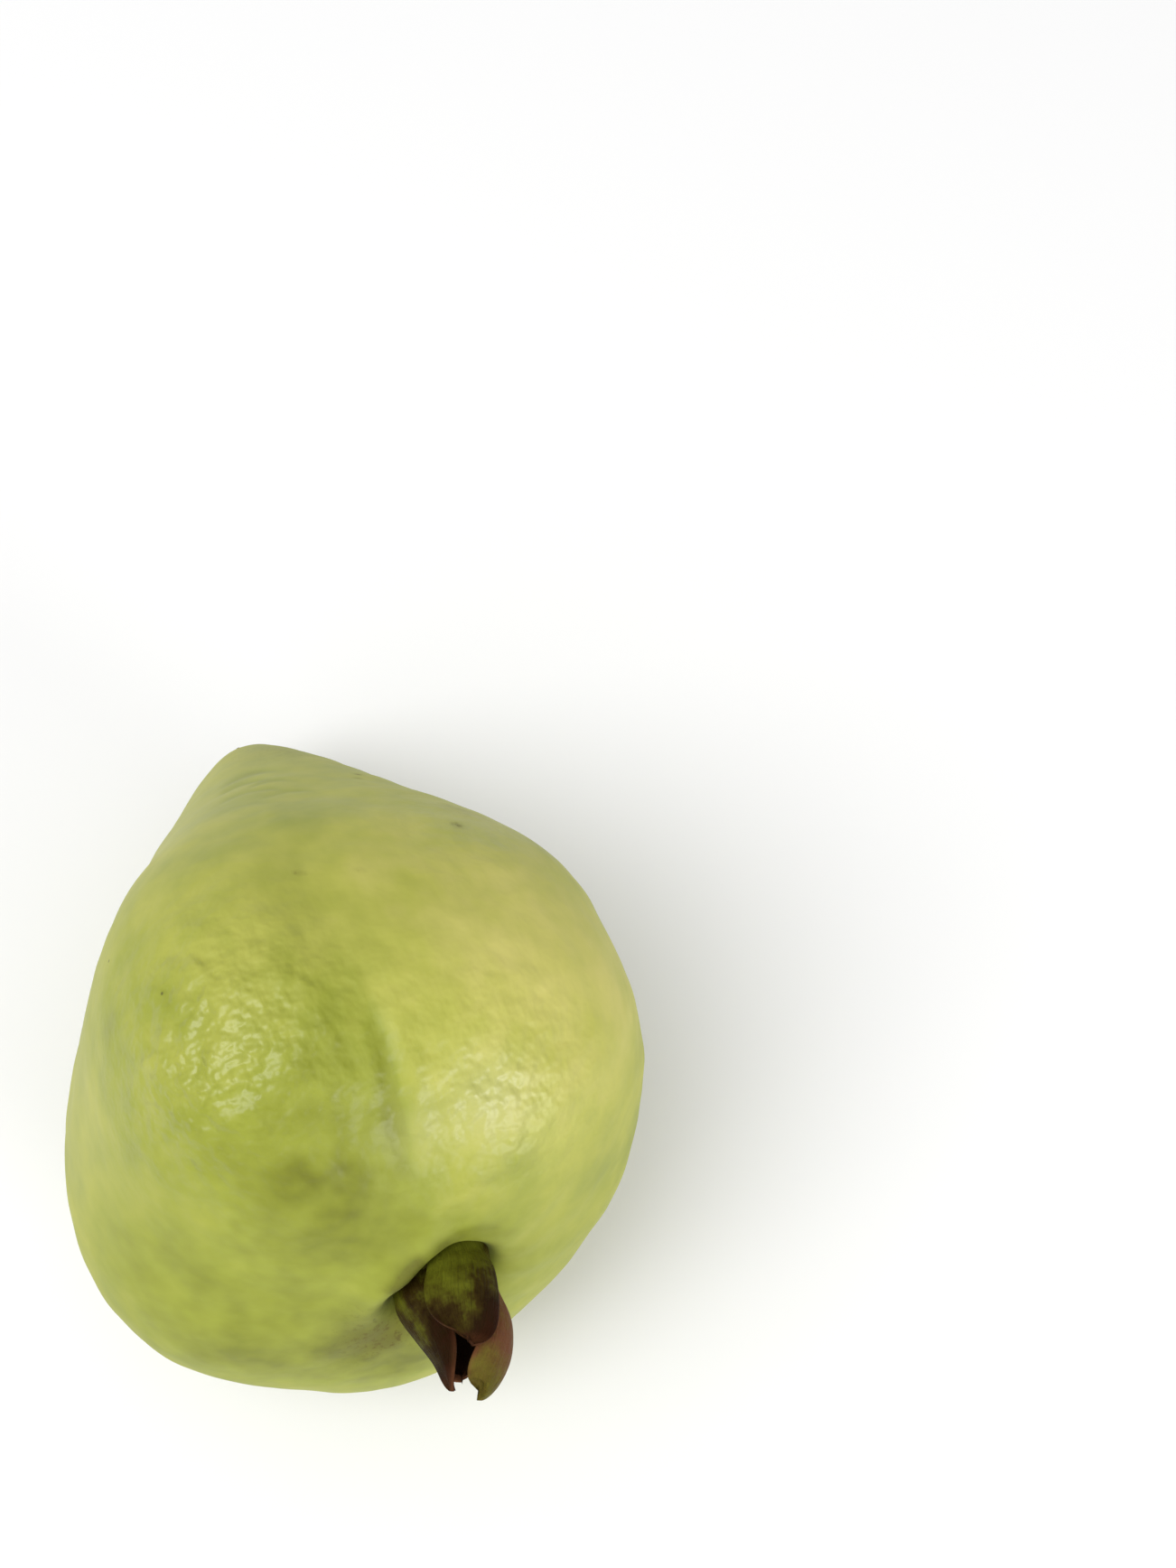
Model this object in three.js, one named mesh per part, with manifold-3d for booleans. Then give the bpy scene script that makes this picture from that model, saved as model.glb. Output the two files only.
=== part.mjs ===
// A pale green guava lying on its side: a pear-shaped fruit with five soft
// lobes, the dried calyx standing in the basin at its blossom end, and the cut
// stub of its stem in the dimple at the tip of its neck.
//
// Millimetres and degrees, +Z up. The fruit's own axis runs from the stem at
// +Y, low, to the calyx at -Y, raised. A place on the skin is given by two
// angles from the middle of the belly: "from" is the angle away from the calyx
// (0 at the calyx, 180 at the stem), and "turn" goes round the axis, from 0 at
// +X through 90 on top of the fruit. A place of its own in space is found from
// them and the distance of the skin there.
import * as THREE from 'three';
import { mergeVertices } from 'three/addons/utils/BufferGeometryUtils.js';
import Module from 'manifold-3d';

// ---- driving dimensions of the fruit ----
const bellyRadius = 42.5;      // the round belly, before lobes and lean
const calyxReach = 32.5;       // belly centre to the flattened calyx end
const calyxSquareness = 2.3;   // 2 would be an ellipse, more is flatter
const neckSlope = 32.5;        // angle of the cone's flank to the axis
const neckRounding = 4.7;      // radius of the rounded tip, as an angle
const axisRise = 24;           // how far the calyx end is tilted up

// Waves round the axis: how many, how high, and the turn of one crest.
const waves = [
  { count: 1, height: 3.1, crest: 172 },   // the belly's lean
  { count: 2, height: 2.9, crest: 62 },    // its oval cross-section
  { count: 3, height: 1.1, crest: -6 },
  { count: 4, height: 0.7, crest: 16 },
  { count: 5, height: 1.1, crest: 39 },    // the five lobes
];

// Local swellings and hollows (negative height) of the skin.
const swellings = [
  { from: 100, turn: 245, height: -3.0, spread: 24 },   // underside, pressed in
  { from: 130, turn: 275, height: 2.0, spread: 20 },    // underside of the neck
  { from: 78, turn: 108, height: 0.9, spread: 15 },     // lobe left of the furrow
  { from: 60, turn: 61, height: 0.9, spread: 15 },      // lobe right of the furrow
];

// The one clear furrow between two lobes: it runs along the fruit at one turn,
// centred on "from".
const furrow = { turn: 85, depth: 0.8, halfWidth: 7, from: 80, length: 30 };

const basin = { depth: 4, spread: 14, fall: 4 };        // holds the calyx
const dimple = { depth: 2.4, spread: 2.9, fall: 4 };    // holds the stem
const flatDepth = 1.2;         // taken off the underside, to rest on

// The skin swells up in lips against the calyx: the turn of each about the
// calyx's own axis, its height, and half the angle that it takes up.
const lips = [
  { turn: 122, height: 2.6, half: 36 },
  { turn: 165, height: 1.2, half: 25 },
];
const lipDistance = 8.8;       // from the calyx's axis to a lip's crest
const lipHalfWidth = 3.0;

// ---- driving dimensions of the calyx ----
const calyxLean = 9;           // its own axis leans to -X
const calyxOffset = { x: 0.7, y: 1.3 };   // from the fruit's axis
const cup = {
  radius: 6.7,       // outside
  wall: 1.5,
  height: 4.0,       // crest of the rim, above the basin's floor
  crestInset: 0.6,   // how far in from the outside the crest is
  shoulder: 2.95,    // where the rim starts to round over, outside
  lip: 3.35,         // and inside
  foot: 1.95,        // how far in from the outside the hollow's floor starts
  floor: 2.3,        // of the hollow, at its edge
  floorMiddle: 1.6,
  root: 4,           // sunk below the basin's floor
  seam: 2.2,         // where the sepals spring from it
};
const sepalBase = 1.3;         // thickness where it springs from the cup
const sepalEdge = 0.7;         // thickness at its tip and edges
const sepalTip = 0.5;          // half its width at the very tip, at least
// Each sepal stands at one turn round the cup and is curved to the radius
// "cupping" across. "blunt" says how suddenly its tip ends, and "skew" makes one
// side of it longer. Each of its stations is: height over the cup's seam,
// distance of its middle line from the calyx's axis, half its width, drift of
// the middle line, and how far its two edges stand out (or in, below 0).
const sepals = [
  {
    turn: 62, cupping: 7.5, blunt: 7, skew: 0.9, stations: [
      [0, 6.8, 3.9, -0.4, 0, 0], [3, 7.9, 4.7, -0.2, 0.2, 0], [6, 8.4, 5.3, 0.3, 0.2, 0.2],
      [9.5, 7.6, 5.3, 0.5, 0.5, 0.5], [12.8, 5.5, 4.7, 0.1, 0.8, 0.5],
    ],
  },
  {
    turn: 146, cupping: 6.6, blunt: 14, skew: 0, stations: [
      [0, 5.8, 5.2, 0, -0.5, 0], [4, 5.9, 4.9, 0, -1, 0], [8, 4.4, 4.1, -0.5, -1, 0],
      [12, 2.8, 3.0, -0.8, -0.5, 0], [17, 1.6, 0.8, -0.3, 0, 0],
    ],
  },
  {
    turn: 256, cupping: 6.6, blunt: 14, skew: 0, stations: [
      [0, 5.9, 5.0, 0, 0, 0], [5, 5.6, 4.4, 0, 0, 0], [9, 4.6, 3.6, 0.3, 0, 0],
      [14.8, 2.0, 1.8, 0.4, 0, 0],
    ],
  },
  {
    turn: 12, cupping: 6.6, blunt: 16, skew: 1.4, stations: [
      [0, 5.6, 5.2, 0, 0, -1.2], [4, 6.3, 4.8, -0.3, 0, -1.4], [9, 7.0, 3.8, -0.8, 0, -1.6],
      [13, 5.8, 3.5, -0.5, 0.2, -1.7], [15.6, 4.1, 3.3, -0.2, 0.1, -1.8],
      [17.4, 2.6, 3.0, -0.2, -0.6, -1.7],
    ],
  },
];

// ---- driving dimensions of the stem ----
const stem = { radius: 1.7, flare: 0.35, root: 3.6, proud: 0.7, bevel: 0.25 };

const clearance = 0.35;        // left between the fruit and what stands in it

// ---- facets ----
const meridians = 72;
const rings = 44;
const polePacking = 0.55;      // how much closer the rings are near the poles
const sepalSteps = { across: 10, along: 16, through: 1 };
const cupSides = 36;
const stemSides = 20;
const weld = 1e-5;             // vertices nearer than this are one

const rad = THREE.MathUtils.degToRad;
const { sin, cos, exp, sqrt, hypot, atan2, min, max, PI } = Math;
const yAxis = new THREE.Vector3(0, 1, 0);
const zAxis = new THREE.Vector3(0, 0, 1);

const wasm = await Module();
wasm.setup();

// ---- solids and booleans ----

function toSolid(geometry) {
  const bare = geometry.clone();
  bare.deleteAttribute('normal');
  bare.deleteAttribute('uv');
  const merged = mergeVertices(bare, weld);
  return new wasm.Manifold(new wasm.Mesh({
    numProp: 3,
    vertProperties: new Float32Array(merged.attributes.position.array),
    triVerts: new Uint32Array(merged.index.array),
  }));
}

function toGeometry(solid) {
  const mesh = solid.getMesh();
  const geometry = new THREE.BufferGeometry();
  geometry.setAttribute('position', new THREE.BufferAttribute(mesh.vertProperties, 3));
  geometry.setIndex(new THREE.BufferAttribute(mesh.triVerts, 1));
  return geometry;
}

// Moves every vertex of a geometry to place(x, y, z).
function reshape(geometry, place) {
  const position = geometry.attributes.position;
  for (let i = 0; i < position.count; i += 1) {
    const p = place(position.getX(i), position.getY(i), position.getZ(i));
    position.setXYZ(i, p.x, p.y, p.z);
  }
  return geometry;
}

// ---- the fruit ----

// The middle of the basin's floor, where the calyx's own axis starts.
function calyxFoot() {
  return new THREE.Vector3(calyxOffset.x, calyxOffset.y, plainRadius(0, 0));
}

// Unit vector of a place on the skin, in the fruit's own axes: +Z is the calyx.
function direction(from, turn) {
  return new THREE.Vector3(sin(from) * cos(turn), sin(from) * sin(turn), cos(from));
}

function wavesAt(turn) {
  let height = 0;
  for (const w of waves) height += w.height * cos(w.count * (turn - rad(w.crest)));
  return height;
}

function swellingsAt(from, turn) {
  const here = direction(from, turn);
  let height = 0;
  for (const s of swellings) {
    const away = here.angleTo(direction(rad(s.from), rad(s.turn))) / rad(s.spread);
    height += s.height * exp(-0.5 * away * away);
  }
  return height;
}

function furrowAt(from, turn) {
  const offset = atan2(sin(turn - rad(furrow.turn)), cos(turn - rad(furrow.turn)));
  const across = offset * sin(from) / rad(furrow.halfWidth);
  const along = (from - rad(furrow.from)) / rad(furrow.length);
  return furrow.depth * exp(-across * across - along * along);
}

// Distance of the skin from the belly's centre, before it swells up round the calyx.
function plainRadius(from, turn) {
  const n = calyxSquareness;
  let radius = bellyRadius;
  if (from < PI / 2) {
    radius = ((sin(from) / bellyRadius) ** n + (cos(from) / calyxReach) ** n) ** (-1 / n);
  }
  const flank = hypot(PI - from, rad(neckRounding)) + rad(neckSlope);
  radius += bellyRadius / sin(min(flank, PI / 2)) - bellyRadius;
  radius += wavesAt(turn) * sin(from) ** 2 + swellingsAt(from, turn) - furrowAt(from, turn);
  radius -= basin.depth * exp(-((from / rad(basin.spread)) ** basin.fall));
  radius -= dimple.depth * exp(-(((PI - from) / rad(dimple.spread)) ** dimple.fall));
  return radius;
}

// Height of the lips at a point of the skin.
function lipsAt(point) {
  if (point.z < 0) return 0;
  const own = point.clone().sub(calyxFoot()).applyAxisAngle(yAxis, rad(calyxLean));
  const across = (hypot(own.x, own.y) - lipDistance) / lipHalfWidth;
  let height = 0;
  for (const lip of lips) {
    const offset = atan2(own.y, own.x) - rad(lip.turn);
    const along = atan2(sin(offset), cos(offset)) / rad(lip.half);
    height += lip.height * exp(-across * across - along * along);
  }
  return height;
}

// Distance of the skin from the belly's centre.
function skinRadius(from, turn) {
  const radius = plainRadius(from, turn);
  return radius + lipsAt(direction(from, turn).multiplyScalar(radius));
}

// The whole fruit, grown outwards by "extra", in its own axes. It is a ball with
// its rings drawn in towards the poles, then moved out to the skin.
function fruitShape(extra) {
  const halfCircle = [];
  for (let i = rings; i >= 0; i -= 1) {
    const t = i / rings;
    const from = PI * t - polePacking * sin(2 * PI * t) / 2;
    const edge = i === 0 || i === rings ? 0 : sin(from);
    halfCircle.push(new THREE.Vector2(edge, cos(from)));
  }
  const ball = new THREE.LatheGeometry(halfCircle, meridians);
  return reshape(ball, (x, y, z) => {
    const from = atan2(hypot(x, z), y);
    const turn = atan2(x, z);
    return direction(from, turn).multiplyScalar(skinRadius(from, turn) + extra);
  });
}

function lieDown(geometry) {
  return geometry.rotateX(rad(90 - axisRise));
}

// The underside is cut level, so the fruit rests on a small flat spot.
function fruitSolid() {
  const whole = lieDown(fruitShape(0));
  whole.computeBoundingBox();
  const box = whole.boundingBox;
  const side = 2 * (box.max.y - box.min.y);
  const below = new THREE.BoxGeometry(side, side, side);
  below.translate(0, 0, box.min.z + flatDepth - side / 2);
  return toSolid(whole).subtract(toSolid(below));
}

// ---- the calyx ----

// A smooth curve through one column of a sepal's stations, at one height.
function throughStations(stations, column, height) {
  const last = stations.length - 1;
  const gap = (i) => stations[i + 1][0] - stations[i][0];
  const slope = (i) => (stations[i + 1][column] - stations[i][column]) / gap(i);
  const slopeAt = (i) => {
    if (i === 0 || i === last) return slope(min(i, last - 1));
    return (slope(i - 1) * gap(i) + slope(i) * gap(i - 1)) / (gap(i - 1) + gap(i));
  };
  let i = 0;
  while (i < last - 1 && height > stations[i + 1][0]) i += 1;
  const t = (height - stations[i][0]) / gap(i);
  const rise = stations[i + 1][column] - stations[i][column];
  const into = (1 - t) * slopeAt(i) - t * slopeAt(i + 1);
  return stations[i][column] + t * t * (3 - 2 * t) * rise + gap(i) * t * (1 - t) * into;
}

// One sepal is a thin box bent to shape: x goes across it from -1 to 1, y along
// it from 0 at the cup to 1 at the tip, and z through its thickness.
function sepalShape({ turn, cupping, blunt, skew, stations }) {
  const { across, along, through } = sepalSteps;
  const blank = new THREE.BoxGeometry(2, 1, 1, across, along, through);
  blank.translate(0, 0.5, 0);
  const reach = stations.at(-1)[0];
  return reshape(blank, (x, y, z) => {
    const [middle, widest, drift, lowEdge, highEdge] = [1, 2, 3, 4, 5]
      .map((column) => throughStations(stations, column, y * reach));
    const half = max(widest * sqrt(1 - y ** blunt), sepalTip);
    const bend = x * half / cupping;
    const thickness = sepalEdge + (sepalBase - sepalEdge) * (1 - x * x) * (1 - y);
    const radius = middle + (x < 0 ? lowEdge : highEdge) * x * x + z * thickness;
    const outward = radius - cupping * (1 - cos(bend));
    const sideways = (cupping + z * thickness) * sin(bend) + drift;
    const p = new THREE.Vector3(outward, sideways, cup.seam + y * reach - skew * x * y * y);
    return p.applyAxisAngle(zAxis, rad(turn));
  });
}

function cupShape() {
  const { radius, wall, height, crestInset, shoulder, lip, foot, floor, floorMiddle, root } = cup;
  const profile = [
    [0, -root], [radius - wall, -root], [radius, 0], [radius, shoulder],
    [radius - crestInset, height], [radius - wall, lip], [radius - foot, floor],
    [0, floorMiddle],
  ].map(([r, h]) => new THREE.Vector2(r, h));
  return new THREE.LatheGeometry(profile, cupSides).rotateX(PI / 2);
}

function standInBasin(geometry) {
  const { x, y, z } = calyxFoot();
  return geometry.rotateY(-rad(calyxLean)).translate(x, y, z);
}

function calyxSolid() {
  let solid = toSolid(standInBasin(cupShape()));
  for (const sepal of sepals) solid = solid.add(toSolid(standInBasin(sepalShape(sepal))));
  return solid.subtract(toSolid(fruitShape(clearance)));
}

// ---- the stem ----

function stemSolid() {
  const { radius, flare, root, proud, bevel } = stem;
  const floor = skinRadius(PI, 0);
  const end = floor + dimple.depth + proud;
  const profile = [
    [0, end], [radius - bevel, end], [radius, end - bevel],
    [radius, floor + dimple.depth / 2], [radius + flare, floor], [radius + flare, floor - root],
    [0, floor - root],
  ].map(([r, h]) => new THREE.Vector2(r, -h));
  const stub = new THREE.LatheGeometry(profile, stemSides).rotateX(PI / 2);
  return toSolid(stub).subtract(toSolid(fruitShape(clearance)));
}

// ---- the guava ----

function piece(name, solid, colour, roughness) {
  const material = new THREE.MeshStandardMaterial({ color: colour, roughness, metalness: 0 });
  const mesh = new THREE.Mesh(toGeometry(solid), material);
  mesh.name = name;
  return mesh;
}

const fruit = piece('fruit', fruitSolid(), '#a9b055', 0.45);

const grownOn = new THREE.Group();
grownOn.rotation.x = rad(90 - axisRise);
grownOn.add(piece('calyx', calyxSolid(), '#6f5a35', 0.75));
grownOn.add(piece('stem', stemSolid(), '#7a6a3c', 0.85));

const guava = new THREE.Group();
guava.add(fruit, grownOn);

// The origin is under the middle of the whole thing, on the surface it lies on.
guava.updateMatrixWorld(true);
const box = new THREE.Box3().setFromObject(guava, true);
guava.position.set(-(box.min.x + box.max.x) / 2, -(box.min.y + box.max.y) / 2, -box.min.z);

export default guava;
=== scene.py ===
"""A pale green guava lying on its side on a pale surface, with its dried calyx
towards the viewer and its stem end away.

Lengths are in millimetres and angles in degrees in the tables below. A place on
the skin is given by two angles from the middle of the belly: "away" is counted
from the calyx, and "turn" goes round the fruit's own axis from +X over the top.
Functions take both in radians.
"""

from math import cos, pi, radians, sin

import bpy
import numpy as np
from mathutils import Matrix, Vector, noise


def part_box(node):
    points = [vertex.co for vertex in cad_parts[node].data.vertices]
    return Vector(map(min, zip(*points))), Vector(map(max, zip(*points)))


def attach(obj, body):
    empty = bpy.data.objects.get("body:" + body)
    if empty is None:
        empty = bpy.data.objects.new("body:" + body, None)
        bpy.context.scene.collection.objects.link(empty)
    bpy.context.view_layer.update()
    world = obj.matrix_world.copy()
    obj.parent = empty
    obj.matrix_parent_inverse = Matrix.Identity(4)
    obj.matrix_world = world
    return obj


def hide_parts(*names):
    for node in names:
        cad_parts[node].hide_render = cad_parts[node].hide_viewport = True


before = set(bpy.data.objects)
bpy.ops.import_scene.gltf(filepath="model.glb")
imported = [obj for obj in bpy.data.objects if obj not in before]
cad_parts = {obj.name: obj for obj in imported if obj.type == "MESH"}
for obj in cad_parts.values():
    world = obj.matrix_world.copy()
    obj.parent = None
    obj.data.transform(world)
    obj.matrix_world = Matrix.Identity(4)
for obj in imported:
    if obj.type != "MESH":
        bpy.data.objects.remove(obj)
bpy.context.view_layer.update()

MM = 0.001

# ---------------------------------------------------------------- the fruit's form

BELLY_RADIUS = 42.5
CALYX_REACH = 32.5  # belly's middle to the flattened calyx end
CALYX_SQUARENESS = 2.3
NECK_SLOPE = 32.5  # between the neck's flank and the fruit's axis
NECK_ROUNDING = 4.7
AXIS_RISE = 24  # how far the calyx end is tilted up

WAVES = [  # round the axis: count, height, turn of a crest
    (1, 3.1, 172),
    (2, 2.9, 62),
    (3, 1.1, -6),
    (4, 0.7, 16),
    (5, 1.1, 39),
]
SWELLINGS = [  # away, turn, height, spread
    (100, 245, -3.0, 24),
    (130, 275, 2.0, 20),
    (78, 108, 0.9, 15),
    (60, 61, 0.9, 15),
]
FURROW = (85, 0.8, 7, 80, 30)  # turn, depth, half width, away, length
BASIN = {"depth": 4, "spread": 14, "fall": 4}
DIMPLE = {"depth": 2.4, "spread": 2.9, "fall": 4}

# Finer relief that only shows close to.
CREASES = [  # turn, depth, half width, away, length: short folds beside the furrow
    (82.5, 0.52, 1.6, 62, 7),
    (85, 0.42, 1.9, 49, 8),
    (78.5, -0.45, 2.4, 59, 10),
    (91.5, -0.25, 3.0, 66, 12),
]
NECK_RIPPLES = [  # away, turn, height, half width, span: short arcs on top of the neck
    (157, 88, -0.30, 1.4, 11),
    (152, 91, -0.32, 1.5, 9),
    (148, 83, -0.28, 1.4, 7),
    (143, 90, -0.28, 1.5, 9),
    (138.5, 80, -0.20, 1.5, 7),
    (134, 92, -0.15, 1.8, 7),
]
RIPPLE_BOW = 2.5  # how far the ends of a ripple bend towards the calyx
LUMPS = [  # width of one lump, height
    (18, 0.50),
    (8, 0.26),
    (4, 0.12),
]
FIRST_LUMP_SEED = 4

# The skin is gathered into ribs round the calyx, deepest in a few groups.
RIBS = {"count": 13, "height": 0.16, "away": 27, "length": 13}
RIB_GROUPS = {"count": 3, "deepest": -19.1}
RIB_WANDER = 0.6  # how far the ribs stray sideways

# A fold in the skin that curls away from the calyx: from one turn about it to another, with
# its distance from the calyx's axis at both, its depth, its half width and the part of its
# length over which each end fades out.
FOLD = {"turns": (95, 12), "distances": (9.6, 11.2), "depth": 0.28, "half": 1.3, "fading": 1 / 3}
# The skin drops round the calyx's foot, further out beside its widest sepal.
DROP = {"distance": 6.6, "depth": 1.1, "half": 0.8, "widest": 62, "further": 0.9, "span": 45}
# The skin swells up round the calyx: turn about the calyx, height, half its length.
LIPS = [(122, 2.6, 36), (165, 1.2, 25)]
LIP_DISTANCE, LIP_HALF_WIDTH = 8.8, 3.0  # from the calyx's axis

SKIN_RINGS = 240
SKIN_MERIDIANS = 400
RING_PACKING = 0.45  # draws the rings together towards both ends
FLAT_SOFTNESS = 0.35  # rounds the rim of the spot that it rests on


def direction(away, turn):
    """Unit vectors in the fruit's own axes, where +Z points out of the calyx."""
    return np.stack(
        [np.sin(away) * np.cos(turn), np.sin(away) * np.sin(turn), np.cos(away)], axis=-1
    )


def points_of(away, turn, radius):
    """Points of the skin in the fruit's own axes."""
    return direction(away, turn) * radius[..., None]


def turn_from(turn, middle):
    """How far a turn is from another one, given in degrees, the short way round in radians."""
    offset = turn - radians(middle)
    return np.arctan2(np.sin(offset), np.cos(offset))


def hill(away, turn, at_away, at_turn, spread):
    """1 at one place on the skin, and falling to 0 around it."""
    there = direction(radians(at_away), radians(at_turn))
    angle = np.arccos(np.clip(direction(away, turn) @ there, -1, 1))
    return np.exp(-0.5 * (angle / radians(spread)) ** 2)


def stripes(table, away, turn):
    """Sum of stretches along meridians, from their turns, depths, half widths, aways, lengths."""
    total = 0
    for at_turn, depth, half, at_away, length in table:
        across = turn_from(turn, at_turn) * np.sin(away) / radians(half)
        along = (away - radians(at_away)) / radians(length)
        total = total + depth * np.exp(-(across**2) - along**2)
    return total


def calyx_half(away):
    """True on the calyx's half of the fruit, and False on the neck's."""
    return away < pi / 2


def skin_radius(away, turn):
    """Distance of the smooth skin from the belly's middle."""
    power = CALYX_SQUARENESS
    wide = (np.abs(np.sin(away)) / BELLY_RADIUS) ** power
    deep = (np.abs(np.cos(away)) / CALYX_REACH) ** power
    radius = np.where(calyx_half(away), (wide + deep) ** (-1 / power), BELLY_RADIUS)
    flank = np.hypot(pi - away, radians(NECK_ROUNDING)) + radians(NECK_SLOPE)
    radius = radius + BELLY_RADIUS / np.sin(np.minimum(flank, pi / 2)) - BELLY_RADIUS
    for count, height, crest in WAVES:
        radius += height * np.cos(count * (turn - radians(crest))) * np.sin(away) ** 2
    for at_away, at_turn, height, spread in SWELLINGS:
        radius += height * hill(away, turn, at_away, at_turn, spread)
    radius -= stripes([FURROW], away, turn)
    for hollow, from_pole in ((BASIN, away), (DIMPLE, pi - away)):
        reach = from_pole / radians(hollow["spread"])
        radius -= hollow["depth"] * np.exp(-(reach ** hollow["fall"]))
    return radius


LIE_DOWN = np.array(Matrix.Rotation(radians(90 - AXIS_RISE), 3, "X"))

# The calyx stands in the basin on an axis of its own.
CALYX_LEAN = 9
CALYX_OFFSET = (0.7, 1.3)


def calyx_foot():
    """Where the calyx's axis meets the basin's floor, in the fruit's own axes."""
    floor = skin_radius(np.array([0.0]), np.array([0.0]))[0]
    return np.array([CALYX_OFFSET[0], CALYX_OFFSET[1], floor])


def round_calyx(points):
    """Distance from the calyx's axis and turn about it, for points in the fruit's own axes."""
    upright = np.array(Matrix.Rotation(radians(CALYX_LEAN), 3, "Y"))
    own = (points - calyx_foot()) @ upright.T
    return np.hypot(own[..., 0], own[..., 1]), np.arctan2(own[..., 1], own[..., 0])


def beyond_foot(distance, round_it):
    """How far outside the calyx's foot, given the distance from its axis and turn about it."""
    widest = np.exp(-((turn_from(round_it, DROP["widest"]) / radians(DROP["span"])) ** 2))
    return np.maximum(distance - DROP["distance"] - DROP["further"] * widest, 0)


def folds(away, turn, radius):
    """Height of the soft folds: beside the furrow, on top of the neck and by the calyx."""
    height = -stripes(CREASES, away, turn)
    for at_away, at_turn, ripple, half, span in NECK_RIPPLES:
        along = turn_from(turn, at_turn) / radians(span)
        bow = radians(at_away) - radians(RIPPLE_BOW) * along**2
        height += ripple * np.exp(-(along**4)) * np.exp(-(((away - bow) / radians(half)) ** 2))
    distance, round_it = round_calyx(points_of(away, turn, radius))
    start, stop = (radians(end) for end in FOLD["turns"])
    part = (round_it - start) / (stop - start)
    near, far = FOLD["distances"]
    bow = near + part * (far - near)
    ends = np.clip(part / FOLD["fading"], 0, 1) * np.clip((1 - part) / FOLD["fading"], 0, 1)
    curl = ends * calyx_half(away) * np.exp(-(((distance - bow) / FOLD["half"]) ** 2))
    return height - FOLD["depth"] * curl


def ribs(away, turn):
    """Height of the ribs that gather round the calyx."""
    gathered = np.exp(-(((away - radians(RIBS["away"])) / radians(RIBS["length"])) ** 2))
    uneven = 0.5 + 0.5 * np.cos(RIB_GROUPS["count"] * (turn - radians(RIB_GROUPS["deepest"])))
    crests = np.cos(RIBS["count"] * turn + RIB_WANDER * np.sin(2 * turn))
    return RIBS["height"] * gathered * uneven * crests


def calyx_collar(away, points):
    """Height of the skin's lips round the calyx, less its drop against the calyx's foot."""
    distance, round_it = round_calyx(points)
    ridge = np.exp(-(((distance - LIP_DISTANCE) / LIP_HALF_WIDTH) ** 2))
    height = -DROP["depth"] * np.exp(-((beyond_foot(distance, round_it) / DROP["half"]) ** 2))
    for at_turn, lip, half in LIPS:
        height += lip * ridge * np.exp(-((turn_from(round_it, at_turn) / radians(half)) ** 2))
    return height * calyx_half(away)


def lumps_at(points, width, seed):
    """Smooth noise about 0 with lumps of that width, at points in millimetres."""
    shift = Vector((seed, 2 * seed, 3 * seed))
    lumps = [noise.noise(Vector(p) / width + shift) for p in points.reshape(-1, 3)]
    return np.array(lumps).reshape(points.shape[:-1])


def skin_relief(away, turn, radius):
    """Height of the fine relief over the smooth skin."""
    points = points_of(away, turn, radius)
    height = folds(away, turn, radius) + ribs(away, turn) + calyx_collar(away, points)
    for seed, (width, lump) in enumerate(LUMPS, start=FIRST_LUMP_SEED):
        height += lump * lumps_at(points, width, seed)
    return height


# ---------------------------------------------------------------- building meshes


def round_turns(count):
    """Turns at even steps, once round."""
    return np.arange(count) / count * 2 * pi


def turned_rings(profile, turns, swell=1.0):
    """Rings of points round +Z from a profile: distance from the axis, height along it."""
    distance, height = (np.array(column, float)[:, None] for column in zip(*profile))
    level = np.broadcast_to(height, (len(profile), len(turns)))
    reach = distance * swell
    return np.stack([reach * np.cos(turns), reach * np.sin(turns), level], axis=-1)


def closed_form(rings, start, end):
    """Points and faces of a closed form through rings of points, with one point at each end."""
    count, around = rings.shape[:2]
    points = np.concatenate([rings.reshape(-1, 3), [start, end]])
    first, last = count * around, count * around + 1
    faces = []
    for j in range(around):
        k = (j + 1) % around
        faces.append((first, j, k))
        for i in range(count - 1):
            a, b = i * around, (i + 1) * around
            faces.append((a + j, b + j, b + k, a + k))
        a = (count - 1) * around
        faces.append((a + j, last, a + k))
    corners = points[[f[:3] for f in faces]]
    volume = np.einsum("ij,ij->", corners[:, 0], np.cross(corners[:, 1], corners[:, 2]))
    if volume < 0:
        faces = [f[::-1] for f in faces]
    return points, faces


def with_ends(values):
    """Values for all points of a closed form, from those of its rings."""
    ends = np.stack([values[0].mean(axis=0), values[-1].mean(axis=0)])
    return np.concatenate([values.reshape(-1, *values.shape[2:]), ends])


def add_piece(name, points, faces, material):
    """A smooth mesh from points in metres, which rides with the whole fruit."""
    mesh = bpy.data.meshes.new(name)
    mesh.from_pydata(points.tolist(), [], faces)
    mesh.shade_smooth()
    mesh.materials.append(material)
    piece = bpy.data.objects.new(name, mesh)
    bpy.context.scene.collection.objects.link(piece)
    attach(piece, "root")
    return piece


def add_values(piece, name, values):
    """A number or a vector for each point of a piece, which its material can read."""
    kind, item = ("FLOAT", "value") if values.ndim == 1 else ("FLOAT_VECTOR", "vector")
    layer = piece.data.attributes.new(name, kind, "POINT")
    layer.data.foreach_set(item, values.astype(np.float32).ravel())


# ---------------------------------------------------------------- finishes


def colour(hex_code):
    """An sRGB hex value as the linear colour that a shader takes."""
    parts = [int(hex_code[i : i + 2], 16) / 255 for i in (1, 3, 5)]
    return tuple(((c + 0.055) / 1.055) ** 2.4 if c > 0.04045 else c / 12.92 for c in parts) + (1,)


def cells(width):
    """The scale that gives a pattern cells of that width, in its coordinates' own unit."""
    return 1 / width


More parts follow.
